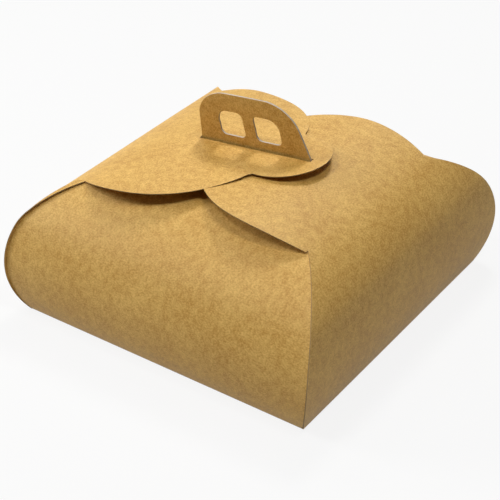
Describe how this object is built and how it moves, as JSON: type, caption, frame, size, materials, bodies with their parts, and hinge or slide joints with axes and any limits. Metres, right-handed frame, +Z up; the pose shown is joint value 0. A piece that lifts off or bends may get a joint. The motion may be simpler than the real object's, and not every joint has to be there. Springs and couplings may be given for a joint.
{
  "type": "cake box with handle",
  "caption": "Square kraft carry box for a cake or pastries, with bulging walls, scalloped closing flaps and an upright folded handle with finger windows.",
  "frame": {"origin": "centre of the base, on the surface the box stands on", "axes": "+X along the handle from the closing flap's wall towards the opposite wall, +Y across the handle, +Z up"},
  "size_m": [0.2906, 0.2984, 0.183],
  "materials": {
    "kraft_board": "matte uncoated kraft",
    "kraft_board_flap": "matte uncoated kraft"
  },
  "bodies": {
    "carton": {"carton": "kraft_board"},
    "closing_flap": {"closing_flap": "kraft_board_flap"}
  },
  "joints": [
    {"name": "closing_flap_hinge", "type": "hinge", "parent": "carton", "child": "closing_flap", "pos_m": [-0.10153, 0, 0.11569], "axis": [0, -1, 0], "range_deg": [0, 110]}
  ]
}
